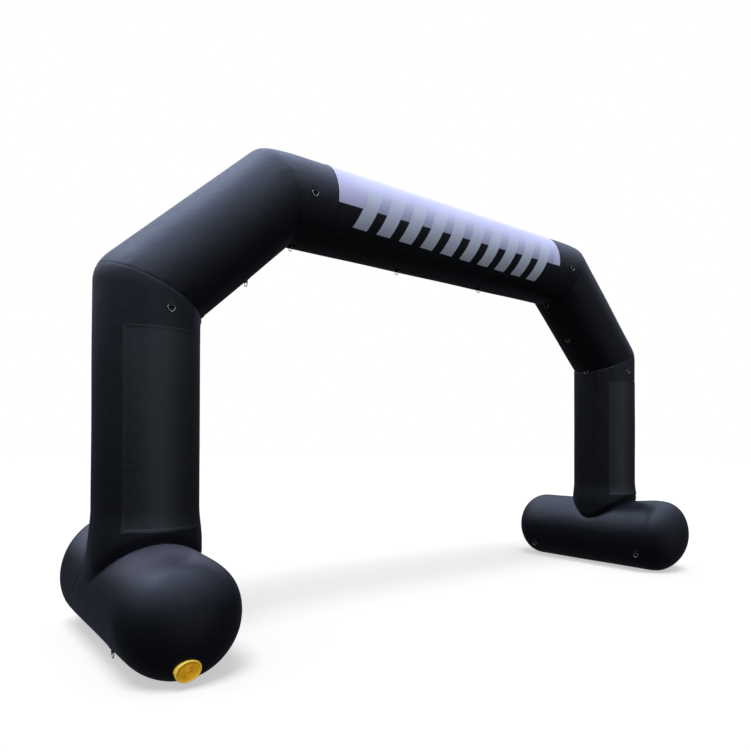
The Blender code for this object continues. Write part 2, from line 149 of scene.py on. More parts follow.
class Sheet:
    """The nodes of a material or of the sky. add gives back a node, and the methods after it a result."""

    def __init__(self, owner):
        owner.use_nodes = True
        self.owner, self.tree = owner, owner.node_tree

    def finish(self, inputs):
        """Set the inputs of the material's shader, and give back the material."""
        set_inputs(self.tree.nodes["Principled BSDF"], inputs)
        return self.owner

    def add(self, kind, inputs, **settings):
        node = self.tree.nodes.new("ShaderNode" + kind)
        tune(node, settings)
        set_inputs(node, inputs)
        return node

    def room(self):
        return self.add("TexCoord", {}).outputs["Object"]

    def flat(self):
        return self.add("UVMap", {}, uv_map="cloth").outputs["UV"]

    def split(self, vector):
        return self.add("SeparateXYZ", {"Vector": vector}).outputs

    def math(self, operation, *values):
        return self.add("Math", dict(enumerate(values)), operation=operation).outputs[0]

    def ramp(self, value, low, high, to_low=0.0, to_high=1.0, curve="LINEAR"):
        """From to_low to to_high while the value goes from low to high."""
        inputs = {"Value": value, "From Min": low, "From Max": high, "To Min": to_low, "To Max": to_high}
        return self.add("MapRange", inputs, interpolation_type=curve).outputs["Result"]

    def mix(self, share, first, second, blend="MIX"):
        """The first colour with a share of the second on it."""
        inputs = {"Factor": share, "A": opaque(first), "B": opaque(second)}
        return self.add("Mix", inputs, data_type="RGBA", blend_type=blend).outputs["Result"]

    def noise(self, places, scale, detail):
        return self.add("TexNoise", {"Vector": places, "Scale": scale, "Detail": detail}).outputs["Fac"]

    def weave(self, places, thread):
        """A plain weave: two sets of fine waves at right angles. At scale 1 a wave is a twentieth of tau."""
        waves = [self.add("TexWave", {"Vector": places, "Scale": 0.05 * math.tau / thread},
                          bands_direction=way).outputs["Fac"] for way in ("X", "Y")]
        return self.math("MAXIMUM", *waves)

    def bump(self, height, distance, strength, **under):
        inputs = {"Height": height, "Distance": distance, "Strength": strength, **under}
        return self.add("Bump", inputs).outputs["Normal"]


def new_finish(name):
    return Sheet(bpy.data.materials.new(name))


print("node helpers ready")

# %% [markdown]
# ## Floor and light
# Black cloth shows its form only by what it mirrors, so the light does the drawing. The sky is bright
# overhead and dim along the horizon: whatever faces up gets a cool sheen, and upright sides stay dark.
# A low glow from the front lifts the banners a little. The floor is plain and pale. It is kept out of
# the cloth's mirror and has a lamp of its own, which draws the arch's soft shadow between the feet.
# One big lamp would be simpler, but black cloth and white floor can't share an exposure.

# %% Build the floor
FLOOR_HALF = 90.0
FLOOR_COLOUR = (0.17, 0.15, 0.115, 1.0)
FLOOR_GLOW = 0.52  # its own light, which keeps the shadows pale
FLOOR_ROUGHNESS = 0.9

floor_mesh = bpy.data.meshes.new("floor")
floor_corners = [(x * FLOOR_HALF, y * FLOOR_HALF, 0.0) for x, y in ((-1, -1), (1, -1), (1, 1), (-1, 1))]
floor_mesh.from_pydata(floor_corners, [], [(0, 1, 2, 3)])
floor_mesh.materials.append(new_finish("floor_paint").finish({
    "Base Color": FLOOR_COLOUR,
    "Emission Color": WHITE,
    "Emission Strength": FLOOR_GLOW,
    "Roughness": FLOOR_ROUGHNESS,
    "Specular IOR Level": 0.0,
}))
floor = put("floor", floor_mesh)
floor.visible_diffuse = floor.visible_glossy = False
print("floor", 2 * FLOOR_HALF, "m wide")

# %% Lamps
bpy.context.scene.view_settings.view_transform = "Standard"


def add_sun(name, place, power, colour, width, lit_only=()):
    """A sun, width degrees wide, that shines from a place to the origin. It can light some pieces only."""
    made = put(name, bpy.data.lights.new(name, "SUN"), energy=power, color=colour, angle=math.radians(width))
    made.location = place
    made.rotation_euler = (-Vector(place)).to_track_quat("-Z", "Y").to_euler()
    if lit_only:
        group = bpy.data.collections.new(name + "_only")
        for piece in lit_only:
            group.objects.link(piece)
        made.light_linking.receiver_collection = group


add_sun("high_left", (-4.3, 2.0, 8.8), 0.60, (0.61, 0.72, 1.0), 40)
add_sun("floor_lamp", (-2.4, -2.9, 9.3), 9.2, (0.68, 0.77, 1.0), 26, [floor])
print("lamps:", [lamp.name for lamp in bpy.data.lights])

# %% Sky
SKY_TOP = (0.76, 0.90, 1.33)
SKY_LOW = (0.90, 0.98, 1.14)
SKY_STRENGTH = 2.7
SKY_POWER = 1.9  # how fast it brightens from the horizon to overhead
SKY_DARK = 0.045
SKY_TO_LEFT = 0.30  # how much brighter it is on the left
FRONT_GLOW = 0.26  # a low soft glow from the front
FRONT_WAY = (0.16, -0.99, 0.0)
FRONT_FOCUS = 6.0  # how closely the glow keeps to its way

sky = Sheet(bpy.data.worlds.new("studio"))
sky.tree.nodes.clear()
bpy.context.scene.world = sky.owner

way = sky.add("TexCoord", {}).outputs["Generated"]
split = sky.split(way)
up = sky.math("MAXIMUM", split["Z"], 0.0)
side = sky.math("MULTIPLY_ADD", split["X"], -SKY_TO_LEFT, 1.0)
bright = sky.math("MULTIPLY", sky.math("POWER", up, SKY_POWER), side)
facing = sky.add("VectorMath", {0: way, 1: FRONT_WAY}, operation="DOT_PRODUCT").outputs["Value"]
glow = sky.math("POWER", sky.math("MAXIMUM", facing, 0.0), FRONT_FOCUS)
low = sky.math("MULTIPLY_ADD", glow, FRONT_GLOW, SKY_DARK)
strength = sky.math("MULTIPLY_ADD", bright, SKY_STRENGTH, low)
lit = sky.add("Background", {"Color": sky.mix(up, SKY_LOW, SKY_TOP), "Strength": strength})
seen = sky.add("Background", {"Color": WHITE, "Strength": 1.0})
ray = sky.add("LightPath", {}).outputs["Is Camera Ray"]
chosen = sky.add("MixShader", {0: ray, 1: lit.outputs[0], 2: seen.outputs[0]})
sky.add("OutputWorld", {"Surface": chosen.outputs[0]})
print("sky: horizon", SKY_DARK, "zenith", SKY_DARK + SKY_STRENGTH)

# %% [markdown]
# ## Woven cloth
# The tubes are a coated woven cloth: a tight plain weave under a thin film, with a soft sheen and
# faint crinkles. A picture of cloth could be wrapped round them, but a pattern made by nodes has no
# edges and no limit of detail. Every cloth is the same recipe in other colours: waves for the threads,
# a slow noise for the colour, a finer one for the gloss, and folds for crinkles. Each depth is a size
# in metres: a bump set by eye is nearly always too deep. The left foot's top has a painted sheen: a
# pale grey film, high up and near the leg, that stands in for the sky's sheen there.

# %% The recipe for woven cloth
THREAD = 0.0011
THREAD_DEPTH = 1 / 12  # of a thread's width
THREAD_STRENGTH = 0.25
SLOW, FINE, FOLDS = (1.7, 3.0), (34.0, 4.0), (7.0, 2.0)  # scale and detail of each noise
SHEEN_ROUGHNESS = 0.35
SHEEN_TINT = (0.78, 0.84, 1.0, 1.0)
# painted sheen: a pale colour laid on the left foot's top, high up and near the leg, where the sky's sheen
# falls
PAINTED_SHEEN_COLOUR = (0.080, 0.070, 0.076)
PAINTED_SHEEN_HEIGHT = (0.54, 0.70)  # from none to full, in metres above the ground
PAINTED_SHEEN_REACH = (0.96, 0.70)  # from none to full, in metres along the foot from its middle
PAINTED_SHEEN_THIN = 0.8  # what is left of it in its thin patches


def with_painted_sheen(sheet, tone, room, patch):
    """Tone with a painted sheen on it: a pale film high up on a foot and near its leg, in place of the sky's
    sheen.
    """
    split = sheet.split(room)
    high = sheet.ramp(split["Z"], *PAINTED_SHEEN_HEIGHT, curve="SMOOTHSTEP")
    near = sheet.ramp(sheet.math("ABSOLUTE", split["Y"]), *PAINTED_SHEEN_REACH)
    film = sheet.math("MULTIPLY", sheet.math("MULTIPLY", high, near), sheet.ramp(patch, *NOISE, PAINTED_SHEEN_THIN))
    return sheet.mix(film, tone, PAINTED_SHEEN_COLOUR)


def woven(name, colour, shade, roughness, sheen, specular, thread=THREAD, crinkle=0.0022, painted_sheen=False):
    """Cloth with a plain weave. colour and shade are the two tones that it drifts between."""
    sheet = new_finish(name)
    room = sheet.room()
    slow, fine, folds = [sheet.noise(room, *noise) for noise in (SLOW, FINE, FOLDS)]
    tone = sheet.mix(sheet.ramp(slow, *NOISE), colour, shade)
    deep = sheet.bump(folds, crinkle * 2, 0.6)
    shallow = sheet.bump(fine, crinkle / 4, 0.5, Normal=deep)
    threads = sheet.weave(sheet.flat(), thread)
    return sheet.finish({
        "Base Color": with_painted_sheen(sheet, tone, room, folds) if painted_sheen else tone,
        "Roughness": sheet.ramp(fine, *NOISE, roughness - 0.04, roughness + 0.05),
        "Normal": sheet.bump(threads, thread * THREAD_DEPTH, THREAD_STRENGTH, Normal=shallow),
        "Specular IOR Level": specular,
        "Sheen Weight": sheen,
        "Sheen Roughness": SHEEN_ROUGHNESS,
        "Sheen Tint": SHEEN_TINT,
    })


BLACK, WORN_BLACK = (0.0030, 0.0034, 0.0044), (0.0042, 0.0046, 0.0058)
TUBE_CLOTH = woven("tube_cloth", BLACK, WORN_BLACK, 0.38, 0.030, 0.38)
# the left foot's cloth, with the painted sheen on its top
PAINTED_SHEEN_CLOTH = woven("painted_sheen_tube_cloth", BLACK, WORN_BLACK, 0.38, 0.030, 0.33, painted_sheen=True)
LEG_CLOTH = woven("leg_banner_cloth", (0.0030, 0.0036, 0.0030), (0.0042, 0.0049, 0.0040), 0.36, 0.005, 0.70,
                  crinkle=0.0012)
WEBBING_CLOTH = woven("webbing_cloth", (0.014, 0.014, 0.013), (0.022, 0.022, 0.020), 0.72, 0.10, 0.30,
                      thread=0.0022, crinkle=0.0004)
print("finishes so far:", [made.name for made in bpy.data.materials])

# %% [markdown]
# ## Turning rows of points into cloth
# A tube skin is a grid: rows of points along it and strips round it. The grid could be sculpted, but a
# formula puts every pucker where sewing puts it. One helper makes the mesh and lays its flat map in
# metres, so that the weave has the same thread everywhere.

# %% Mesh from a grid
SHARP = math.radians(40)  # faces that meet at more than this keep an edge between them


def grid_faces(rows, columns, wrap):
    """Corner numbers of the quads of a grid, which may close on itself across the columns."""
    numbers = np.arange(rows * columns).reshape(rows, columns)
    if wrap:
        numbers = np.hstack((numbers, numbers[:, :1]))
    low, high = numbers[:-1], numbers[1:]
    return np.stack((low[:, :-1], low[:, 1:], high[:, 1:], high[:, :-1]), axis=-1).reshape(-1, 4)


def face_outwards(mesh):
    shape = bmesh.new()
    shape.from_mesh(mesh)
    bmesh.ops.recalc_face_normals(shape, faces=shape.faces)
    shape.to_mesh(mesh)
    shape.free()


def dressed(name, mesh, finish, node, sharp=SHARP):
    """A mesh as a piece of the arch: it rides on the root and stands in for one plain solid."""
    mesh.shade_smooth()
    if sharp:
        mesh.set_sharp_from_angle(angle=sharp)
    mesh.materials.append(finish)
    made = put(name, mesh)
    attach(made, "root")
    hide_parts(node)
    return made


def piece_from(name, points, faces, flat, finish, node):
    """A piece from points, faces and a place on the flat cloth for each point."""
    mesh = bpy.data.meshes.new(name)
    mesh.from_pydata(points.tolist(), [], faces)
    corner_points = np.zeros(len(mesh.loops), np.int32)
    mesh.loops.foreach_get("vertex_index", corner_points)
    mesh.uv_layers.new(name="cloth").data.foreach_set("uv", flat[corner_points].astype(np.float32).ravel())
    face_outwards(mesh)
    return dressed(name, mesh, finish, node)


print("a grid of 3 x 4 points has", len(grid_faces(3, 4, False)), "faces")

# %% [markdown]
# ## Seams and puckers
# Air pulls cloth tight everywhere but at a seam: there two panels meet in stitches that can't stretch,
# so each skin rolls inwards, and the spare cloth gathers in small puckers that fade within a hand's
# width. Inside a bend there is more cloth to spare, so they are larger.

# %% Shape of a seam
SIDES = 208
TURNS = math.tau * np.arange(SIDES) / SIDES
SEAM_ROLL = 0.0028
SEAM_ROLL_WIDTH = 0.008
PUCKER = 0.0016
PUCKER_INSIDE = 0.0042
PUCKER_START = 0.012
PUCKER_REACH = 0.085
PUCKER_WAVES = ((13, 0.30), (19, 0.35), (31, 0.25), (43, 0.10))  # waves in a turn, and their share
BROAD_SWELL, NARROW_SWELL = 0.0011, 0.0006
SWELL_START = 0.05


def ripple(turn, seed):
    """A wave of mixed spacing round a tube, between about -1 and 1, that joins up after a full turn."""
    total = np.zeros_like(turn)
    for count, share in PUCKER_WAVES:
        total = total + share * np.sin(count * turn + seed * count * 0.37)
    return total


def away(gap, start):
    """0 at a seam, and nearly 1 at a few times the start."""
    return 1 - np.exp(-gap / start)


def seam_shape(turn, gap, seed, extra=1.0):
    """How far the skin stands off its plain form at a distance from a seam; negative is inwards."""
    inside = np.clip(-np.sin(turn), 0, None) ** 2
    depth = PUCKER + PUCKER_INSIDE * inside
    fade = np.exp(-gap / PUCKER_REACH) * away(gap, PUCKER_START)
    drift = 0.9 * np.sin(gap * 21 + seed)
    roll = SEAM_ROLL * extra * np.exp(-gap / SEAM_ROLL_WIDTH)
    return -roll + depth * fade * ripple(turn + 0.03 * drift, seed)


def breathing(turn, along, seed):
    """Slow swells of a full tube: a millimetre or so, panel by panel."""
    return (BROAD_SWELL * np.sin(3 * turn + along * 2.3 + seed) * np.sin(along * 4.1 + seed * 1.7)
            + NARROW_SWELL * np.sin(7 * turn - along * 6.0 + 2 * seed))


print("strips round a tube:", SIDES)

# %% [markdown]
# ## Tubes between two mitres
# Where two tubes meet at an angle, both are cut on the slanted plane half way between them, like the
# corner of a picture frame. Each strip of cloth therefore has its own length. The outer side of both
# is drawn in a little towards the cut, so the corner looks rounded from the side.

# %% Cutting a strip at a mitre
TUCK_DEPTH = 0.020
AXES = [(end - start) / np.linalg.norm(end - start) for start, end in zip(CORNERS, CORNERS[1:])]
OUTWARDS = [np.cross(-BACK, axis) for axis in AXES]  # each tube's way out from the inside of the arch


def round_section(turn, outward, radius):
    """Points round a section: turn 0 is straight front, a quarter turn is the outer side."""
    return radius[..., None] * (np.cos(turn)[..., None] * -BACK + np.sin(turn)[..., None] * outward)


def corner_tuck(turn, gap, reach):
    """How far the outer side is drawn in at a distance from a mitre."""
    return TUCK_DEPTH * np.clip(np.sin(turn), 0, None) ** 2 * np.clip(1 - gap / reach, 0, 1) ** 2


def end_radius(seed):
    return TUBE_RADIUS - corner_tuck(TURNS, 0.0, 1.0) + seam_shape(TURNS, 0.0, seed)


def strip_end(tube, corner, seed, side):
    """How far along a tube each strip ends on a corner's mitre. side is 1 where the tube leads away."""
    normal = AXES[corner - 1] + AXES[corner]
    normal = normal / np.linalg.norm(normal)
    slope = AXES[tube] @ normal
    edge = round_section(TURNS, OUTWARDS[tube], end_radius(seed))
    return (CORNERS[corner] - CORNERS[tube] - edge) @ normal / slope + side * GAP / 2 / slope


print("radius at a mitre, front and outer side:", np.round(end_radius(1.0)[[0, SIDES // 4]], 4))

# %% Skin of a tube
ROW_CROWDING = 0.45  # how much closer together the rows stand at the ends


def tube_skin(tube, reaches, seeds, rows):
    """Points of a tube's skin between two mitres, and their flat places."""
    low = strip_end(tube, tube, seeds[0], 1)
    high = strip_end(tube, tube + 1, seeds[1], -1)
    share = 0.5 - 0.5 * np.cos(np.linspace(0, math.pi, rows))
    share = ROW_CROWDING * share + (1 - ROW_CROWDING) * np.linspace(0, 1, rows)
    along = low + (high - low) * share[:, None]
    turn = np.broadcast_to(TURNS, along.shape)
    from_low, from_high = along - low, high - along
    radius = (TUBE_RADIUS - corner_tuck(turn, from_low, reaches[0]) - corner_tuck(turn, from_high, reaches[1])
              + seam_shape(turn, from_low, seeds[0]) + seam_shape(turn, from_high, seeds[1])
              + breathing(turn, along, seeds[0]) * away(np.minimum(from_low, from_high), SWELL_START))
    points = CORNERS[tube] + AXES[tube] * along[..., None] + round_section(turn, OUTWARDS[tube], radius)
    return points, np.stack((turn * TUBE_RADIUS, along), axis=-1)


def closed(points, flat):
    """Points, faces and flat places of a grid that wraps round, with a fan over each end."""
    rows, columns = points.shape[:2]
    faces = grid_faces(rows, columns, True).tolist()
    for first, centre in ((0, rows * columns), ((rows - 1) * columns, rows * columns + 1)):
        faces += [(first + column, first + (column + 1) % columns, centre) for column in range(columns)]

    def with_centres(grid):
        return np.vstack((grid.reshape(rows * columns, -1), grid[0].mean(axis=0), grid[-1].mean(axis=0)))

    return with_centres(points), faces, with_centres(flat)


def add_tube(name, node, points, faces, flat, finish=TUBE_CLOTH):
    made = piece_from(name, points, faces, flat, finish, node)


SHOULDER_REACHES = (0.12, 0.08)
BEAM_REACHES = (0.25, 0.25)
shoulder_points, shoulder_flat = tube_skin(1, SHOULDER_REACHES, (1.0, 2.0), 130)
for half, placed in HALVES:
    add_tube("shoulder_skin_" + half, "shoulder_" + half, *closed(placed(shoulder_points), shoulder_flat))
add_tube("beam_skin", "beam", *closed(*tube_skin(2, BEAM_REACHES, (2.0, 2.0), 230)))
print("shoulder strip on the outer side:", np.ptp(shoulder_flat[:, SIDES // 4, 1]).round(3), "m")

# %% [markdown]
# ## Legs
# A leg is a plain tube at its top, but it swells a little towards the foot, and there the cloth is cut
# in a saddle that fits over the round foot. Its outer back quarter is pulled square by the foot below.
# The saddle seam is found strip by strip: go down the strip until it meets the foot's skin.

# %% Shape of a leg
SWELL = 0.017
SWELL_TOP = 0.96
SWELL_FULL = 0.72
SEAM_TUCK = 0.030
SEAM_REACH = 0.10
FLANK_TOP = 0.80
FLANK_FULL = 0.42
FLANK_WIDTH = 0.376
FLANK_SQUARE = 2.0
FLANK_TURNS = (math.radians(50), math.radians(190))
VALLEY = 0.004
VALLEY_LEAST = 0.001


def ramp(start, full, place):
    """0 at the start, 1 at full and past it, with a soft start and a soft end."""
    share = np.clip((start - place) / (start - full), 0, 1)
    return share * share * (3 - 2 * share)


def flank_share(turn):
    """1 in the middle of a leg's outer back quarter, 0 outside it."""
    first, last = FLANK_TURNS
    share = np.sin(math.pi * (turn - first) / (last - first)) ** 2
    return np.where((turn > first) & (turn < last), share, 0.0)


def saddle_height(turn):
    return FOOT_AXIS_HEIGHT + np.sqrt(FOOT_RADIUS ** 2 - (TUBE_RADIUS * np.sin(turn)) ** 2)


def leg_radius(turn, height):
    """Radius of a leg, with its swell, the tuck at the saddle and the square outer back quarter."""
    turn = np.mod(turn, math.tau)
    swell = SWELL * ramp(SWELL_TOP, SWELL_FULL, height)
    tuck = SEAM_TUCK * ramp(SEAM_REACH, 0.0, height - saddle_height(turn)) ** 2
    plain = TUBE_RADIUS + swell - tuck
    share = ramp(FLANK_TOP, FLANK_FULL, height)
    depth = TUBE_RADIUS + swell
    width = depth + (FLANK_WIDTH - TUBE_RADIUS - SWELL) * share
    power = 2.0 + FLANK_SQUARE * share
    flank = (np.abs(np.cos(turn) / depth) ** power + np.abs(np.sin(turn) / width) ** power) ** (-1 / power)
    return plain + (flank - plain) * flank_share(turn)


def valley_depth(turn):
    """How deep the foot's skin is drawn in at the seam. It fades at the leg's outer back quarter."""
    return VALLEY * (1 - flank_share(turn)) + VALLEY_LEAST


def saddle_seam(turn):
    """Height at which each strip of the leg meets the foot, found by going half way there again and again."""
    height = saddle_height(turn)
    for _ in range(60):
        across = leg_radius(turn, height) * np.sin(turn)
        reach = np.clip((FOOT_RADIUS - valley_depth(turn)) ** 2 - across ** 2, 0.0, None)
        height = 0.5 * height + 0.5 * (FOOT_AXIS_HEIGHT + np.sqrt(reach) + GAP)
    return height


print("seam heights, front, outer, back, inner:", np.round(saddle_seam(np.arange(4) * math.pi / 2), 3))

# %% Skin of a leg
LEG_REACH = 0.10
LEG_MIDDLE = 1.00
CALM_FLANK = 0.8  # how far the tight outer back quarter holds back puckers


def leg_skin(turn, height, low, high, stand_off=0.0):
    """Points of the left leg's skin at given turns and heights."""
    gap_low, gap_high = np.clip(height - low, 0, None), np.clip(high - height, 0, None)
    quiet = 1 - CALM_FLANK * flank_share(np.mod(turn, math.tau))
    radius = (leg_radius(turn, height) - corner_tuck(turn, gap_high, LEG_REACH)
              + seam_shape(turn, gap_high, 1.0)
              + seam_shape(-np.abs(turn), gap_low, 5.0, extra=0.5) * quiet
              + breathing(turn, height, 4.0) * away(np.minimum(gap_low, gap_high), SWELL_START)
              + stand_off)
    return CORNERS[0] + UP * height[..., None] + round_section(turn, OUTWARDS[0], radius)


leg_low = saddle_seam(TURNS)
leg_high = strip_end(0, 1, 1.0, -1)
lower = leg_low + (LEG_MIDDLE - leg_low) * (np.linspace(0, 1, 80) ** 1.5)[:, None]
upper = LEG_MIDDLE + (leg_high - LEG_MIDDLE) * (1 - np.linspace(1, 0, 90) ** 1.5)[1:, None]
leg_heights = np.vstack((lower, upper))
leg_turns = np.broadcast_to(TURNS, leg_heights.shape)
leg_points = leg_skin(leg_turns, leg_heights, leg_low, leg_high)
leg_flat = np.stack((leg_turns * TUBE_RADIUS, leg_heights), axis=-1)
for half, placed in HALVES:
    add_tube("leg_skin_" + half, "post_" + half, *closed(placed(leg_points), leg_flat))
print("leg rows:", leg_points.shape[0], "top of the inner side:", leg_high.min().round(3))

# %% [markdown]
# ## Feet
# A foot is a fat tube with a dome at each end, pressed flat on the ground. The leg's seam pulls a
# valley into it, and a soft crease runs down its side from the leg's outer back quarter. Each point
# asks a search tree how far the seam is. No two blown ends are alike, so a last step stretches, slims
# or lifts the ends.

# %% Distance to the saddle seam
seam_turns = math.tau * np.arange(720) / 720
seam_heights = saddle_seam(seam_turns)
seam_radii = leg_radius(seam_turns, seam_heights)
seam_points = CORNERS[0] + UP * seam_heights[:, None] + round_section(seam_turns, OUTWARDS[0], seam_radii)
seam_tree = KDTree(len(seam_points))
for number, point in enumerate(seam_points):
    seam_tree.insert(point, number)
seam_tree.balance()


def seam_distance(points):
    """Distance of each point to the saddle seam and the turn of the nearest place on it."""
    numbers, distances = np.array([seam_tree.find(point)[1:] for point in points.reshape(-1, 3)]).T
    return distances.reshape(points.shape[:-1]), seam_turns[numbers.astype(int)].reshape(points.shape[:-1])


print("length of a saddle seam:", np.linalg.norm(np.diff(seam_points, axis=0), axis=1).sum().round(2), "m")

# %% Skin of a foot
VALLEY_REACH = 0.030
VALLEY_FALL = 1.3  # 1 would be sharp at the seam, 2 round
HIDDEN_FROM = 0.004  # this far inside the leg, the foot's skin is out of sight
FOOT_PUCKER = 0.0022
FOOT_PUCKER_REACH = 0.07
FLOOR_GAP = 0.0004
PORT_CENTRE = np.array((-2.733, -0.9690, 0.114))  # the air inlet, round which the cloth is held still
PORT_STILL = 0.16
CREASE = 0.006
CREASE_WIDTH = 0.016
CREASE_BANK = 0.10  # width of the proud strip beside it
CREASE_TOP = np.array((0.147, 0.542))
CREASE_FOOT = np.array((0.317, 0.306))
DOME_ROWS = 34
BODY_ROWS = 100


def foot_profile():
    """Places along a foot and its radius there, without its two tips."""
    turn = math.radians(90) * np.linspace(0, 1, DOME_ROWS + 1)[1:]
    ends = []
    for length, start, tip, reach in (NEAR_DOME, FAR_DOME):
        depth = length * np.clip(np.cos(turn), 0, None) ** (2 / start)
        ends.append((reach - length + depth, FOOT_RADIUS * np.sin(turn) ** (2 / tip)))
    (near, near_radius), (far, far_radius) = ends
    body = np.linspace(-near[-1], far[-1], BODY_ROWS)
    radii = (near_radius[:-1], np.full(BODY_ROWS, FOOT_RADIUS), far_radius[-2::-1])
    return np.concatenate((-near[:-1], body, far[-2::-1])), np.concatenate(radii)


def crease_step(points):
    """A crease down the foot's outer side, with a near bank that stands a little proud."""
    run = CREASE_FOOT - CREASE_TOP
    length = np.linalg.norm(run)
    run = run / length
    y, z = points[..., 1] - CREASE_TOP[0], points[..., 2] - CREASE_TOP[1]
    along = y * run[0] + z * run[1]
    across = y * -run[1] + z * run[0]
    outer = np.clip((-LEG_PLACE - points[..., 0]) / FOOT_RADIUS, 0, 1) ** 2
    fade = np.clip(1 - np.abs(along - length * 0.35) / (length * 0.95), 0, 1)
    valley = np.exp(-(across / CREASE_WIDTH) ** 2)
    near = np.exp(-(np.clip(-across, 0, None) / CREASE_BANK) ** 2) * (across < 0)
    return outer * fade * (CREASE * 0.5 * near - CREASE * valley)


def foot_skin():
    """Points of the left foot's skin, and their flat places."""
    places, radii = foot_profile()
    turn, place = np.meshgrid(TURNS, places)
    off = np.stack((np.sin(turn), np.zeros_like(turn), np.cos(turn)), axis=-1)
    run = place[..., None] * BACK
    plain = FOOT_MIDDLE + off * radii[:, None, None] + run
    distance, seam_turn = seam_distance(plain)
    plan = np.hypot(plain[..., 0] - CORNERS[0][0], plain[..., 1] - CORNERS[0][1])
    inside = plan < leg_radius(seam_turn, saddle_height(seam_turn)) - HIDDEN_FROM
    distance = np.where(inside & (plain[..., 2] > FOOT_AXIS_HEIGHT), 0.0, distance)
    valley = valley_depth(seam_turn) * np.exp(-(distance / VALLEY_REACH) ** VALLEY_FALL)
    folds = FOOT_PUCKER * ripple(seam_turn, 5.0) * np.exp(-distance / FOOT_PUCKER_REACH)
    folds = folds * away(distance, PUCKER_START) * (1 - CALM_FLANK * flank_share(seam_turn))
    swells = breathing(turn, place, 7.0) * away(distance, SWELL_START)
    swells = swells * (1 - np.exp(-(np.linalg.norm(plain - PORT_CENTRE, axis=-1) / PORT_STILL) ** 2))
    radius = radii[:, None] + (folds + swells) * np.clip(radii[:, None] / FOOT_RADIUS, 0, 1)
    radius = radius - valley + crease_step(plain)
    points = FOOT_MIDDLE + off * radius[..., None] + run
    points[..., 2] = np.maximum(points[..., 2], FLOOR_GAP)
    return points, np.stack((turn * FOOT_RADIUS, place), axis=-1)


foot_points, foot_flat = foot_skin()
print("foot grid:", foot_points.shape[:2])

# %% Uneven ends
END_START, END_FULL = 0.38, 0.84  # along the foot, where its ends begin to differ and where they fully do
SLIM_START, SLIM_FULL = 0.72, 0.95
LIFT_START, LIFT_FULL = 0.74, 1.00
FOOT_TIPS = [FOOT_MIDDLE + place * BACK for place in (-NEAR_DOME[3], FAR_DOME[3])]


def uneven(points, near_swell=0.0, far_swell=0.0, near_slim=0.0, near_lift=0.0):
    """A foot with unlike ends: their tops stand higher or lower, and the near one is slimmer or lifted."""
    place, height = points[..., 1], points[..., 2]
    share = (height / (FOOT_AXIS_HEIGHT + FOOT_RADIUS)) ** 2
    rise = near_swell * ramp(-END_START, -END_FULL, place) + far_swell * ramp(END_START, END_FULL, place)
    slim = near_slim * ramp(-SLIM_START, -SLIM_FULL, place)
    lift = near_lift * ramp(-LIFT_START, -LIFT_FULL, place)
    moved = points.copy()
    moved[..., 2] = height * (1 + rise * share) + lift
    moved[..., 0] = -LEG_PLACE + (points[..., 0] + LEG_PLACE) * (1 - slim)
    return moved


FEET = {
    # the left foot wears the cloth with the painted sheen on its top
    "left": (PAINTED_SHEEN_CLOTH, dict(near_swell=-0.035, far_swell=0.105, near_slim=0.024)),
    "right": (TUBE_CLOTH, dict(near_swell=0.040, near_lift=0.034)),
}
for half, placed in HALVES:
    finish, ends = FEET[half]
    every, faces, spread = closed(foot_points, foot_flat)
    every[-2:] = FOOT_TIPS
    add_tube("foot_skin_" + half, "foot_" + half, placed(uneven(every, **ends)), faces, spread, finish)
print("feet:", {half: ends for half, (_, ends) in FEET.items()})

# %% [markdown]
# ## Banners
# A banner is a flat sheet held tight on a tube by hook-and-loop. Its double hem is thicker and catches
# the light, and its lower edge stands off a little. The sheet follows the tube's own skin: the same
# formula, a millimetre further out. A cloth simulation would add sag, but a stretched banner has none.

# %% A sheet on a tube
SHEET = 0.0016
HEM = 0.0012
HEM_WIDTH = 0.022
HEM_SLOPE = 0.004
STITCH_DEPTH, STITCH_WIDTH = 0.0005, 0.002
LIFT = 0.0008


def edge_steps(length, count):
    """Places along a sheet, closer together in the hems."""
    fine = HEM_WIDTH * 1.3
    rim = np.linspace(0, fine, 9)
    middle = np.linspace(fine, length - fine, count)
    return np.concatenate((rim, middle[1:-1], length - rim[::-1]))


def add_sheet(name, node, skin, size, steps, loose, finish, placed=np.asarray):
    """A closed sheet on a tube. skin gives its points for places on it and a distance off the tube, and
    loose is how far its lower edge stands off, how soon that fades, and how wavy it is."""
    across, along = np.meshgrid(*(edge_steps(*pair) for pair in zip(size, steps)))
    edge = np.minimum.reduce((across, size[0] - across, along, size[1] - along))
    hem = HEM * np.clip((HEM_WIDTH - edge) / HEM_SLOPE, 0, 1)
    stitch = STITCH_DEPTH * np.exp(-((edge - HEM_WIDTH + HEM_SLOPE) / STITCH_WIDTH) ** 2)
    depth, reach, waves = loose
    inner = LIFT + depth * np.exp(-along / reach) * (0.8 + 0.2 * np.sin(across * waves))
    outer = inner + SHEET + (hem - stitch)
    count = across.size
    faces = grid_faces(*across.shape, False)
    numbers = np.arange(count).reshape(across.shape)
    rim = np.concatenate((numbers[0], numbers[1:, -1], numbers[-1, -2::-1], numbers[-2:0:-1, 0])).tolist()
    band = [(a, b, b + count, a + count) for a, b in zip(rim, rim[1:] + rim[:1])]
    points = np.vstack([placed(skin(across, along, off)).reshape(-1, 3) for off in (inner, outer)])
    flat = np.stack((across, along), axis=-1).reshape(-1, 2)
    every = faces.tolist() + (faces + count).tolist() + band
    made = piece_from(name, points, every, np.vstack((flat, flat)), finish, node)


print("steps across a half-metre sheet:", len(edge_steps(0.5, 30)))

# %% Leg banners
LEG_BANNER_LOW = 0.825
LEG_BANNER_TOP = 2.135
LEG_BANNER_IN = math.radians(-48.75)
LEG_BANNER_OUT = math.radians(41.25)

